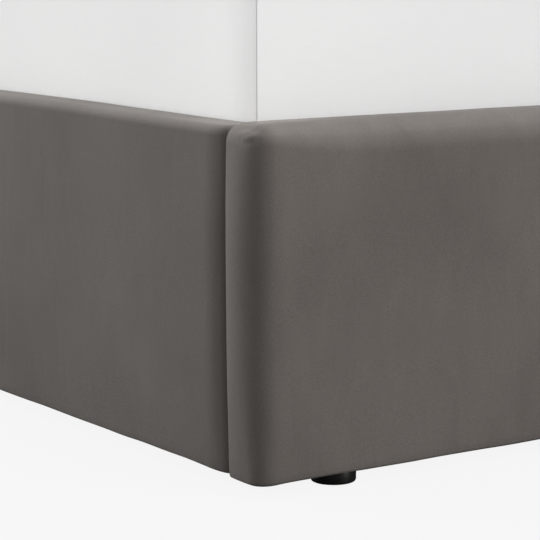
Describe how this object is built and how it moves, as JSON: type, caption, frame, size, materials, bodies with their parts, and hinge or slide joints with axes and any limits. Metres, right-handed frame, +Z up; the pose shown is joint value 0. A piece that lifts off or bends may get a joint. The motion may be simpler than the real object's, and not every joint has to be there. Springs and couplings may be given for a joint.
{
  "type": "upholstered bed",
  "caption": "Velvet-covered bed with a low straight footboard, deep side rails, a swept-back rolled headboard, sprung slats on a centre rail, and a mattress in a fitted sheet.",
  "frame": {"origin": "centre of the whole bed's bounding box in plan, at the floor", "axes": "+X to the right seen from the foot of the bed, +Y from the footboard to the headboard, +Z up"},
  "size_m": [1.62, 2.3625, 1.0899],
  "materials": {
    "velvet": "matte",
    "padding_foam": "matte",
    "wadding": "matte",
    "plywood": "matte",
    "pine": "matte",
    "beech": "satin",
    "holder_plastic": "matte",
    "foot_plastic": "satin",
    "zinc_plate": "satin",
    "zinc_fasteners": "satin",
    "yellow_screws": "satin",
    "leg_paint": "satin",
    "liner": "matte",
    "mattress_ticking": "matte",
    "sheet_cotton": "matte"
  },
  "bodies": {
    "frame": {"footboard_bars": "pine", "footboard_uprights": "pine", "footboard_front_board": "plywood", "footboard_back_board": "plywood", "footboard_foam": "padding_foam", "footboard_cover": "velvet", "left_rail_bars": "pine", "right_rail_bars": "pine", "left_rail_uprights": "pine", "right_rail_uprights": "pine", "left_rail_outer_board": "plywood", "right_rail_outer_board": "plywood", "left_rail_inner_board": "plywood", "right_rail_inner_board": "plywood", "left_rail_foam": "padding_foam", "right_rail_foam": "padding_foam", "left_rail_cover": "velvet", "right_rail_cover": "velvet", "left_slat_ledger": "pine", "right_slat_ledger": "pine", "headboard_ribs": "plywood", "headboard_cross_bars": "pine", "headboard_roll_dowel": "pine", "headboard_posts": "pine", "headboard_front_board": "plywood", "headboard_back_board": "plywood", "headboard_foam": "padding_foam", "headboard_back_wadding": "wadding", "headboard_end_pads": "padding_foam", "headboard_cover": "velvet", "headboard_end_facings": "velvet", "centre_rail": "pine", "centre_rail_hangers": "zinc_plate", "centre_legs": "leg_paint", "leg_plugs": "holder_plastic", "left_slats": "beech", "right_slats": "beech", "left_slat_holders": "holder_plastic", "right_slat_holders": "holder_plastic", "centre_slat_holders": "holder_plastic", "corner_brackets": "zinc_plate", "footboard_bolts": "zinc_fasteners", "headboard_bolts": "zinc_fasteners", "rail_bolts": "zinc_fasteners", "tee_nuts": "zinc_fasteners", "glide_feet": "foot_plastic", "glide_screws": "zinc_fasteners", "ledger_screws": "yellow_screws", "hanger_screws": "yellow_screws", "leg_screws": "yellow_screws", "underside_liners": "liner"},
    "leveller_1": {"levelling_foot_1": "foot_plastic"},
    "leveller_2": {"levelling_foot_2": "foot_plastic"},
    "leveller_3": {"levelling_foot_3": "foot_plastic"},
    "mattress_and_sheet": {"mattress": "mattress_ticking", "fitted_sheet": "sheet_cotton"}
  },
  "joints": [
    {"name": "mattress_lift", "type": "slide", "parent": "frame", "child": "mattress_and_sheet", "axis": [0, 0, 1], "range_m": [0, 0.4]},
    {"name": "leveller_1_turn", "type": "hinge", "parent": "frame", "child": "leveller_1", "pos_m": [0, -0.69028, 0.02], "axis": [0, 0, 1], "continuous": true},
    {"name": "leveller_2_turn", "type": "hinge", "parent": "frame", "child": "leveller_2", "pos_m": [0, -0.09028, 0.02], "axis": [0, 0, 1], "continuous": true},
    {"name": "leveller_3_turn", "type": "hinge", "parent": "frame", "child": "leveller_3", "pos_m": [0, 0.50972, 0.02], "axis": [0, 0, 1], "continuous": true}
  ]
}
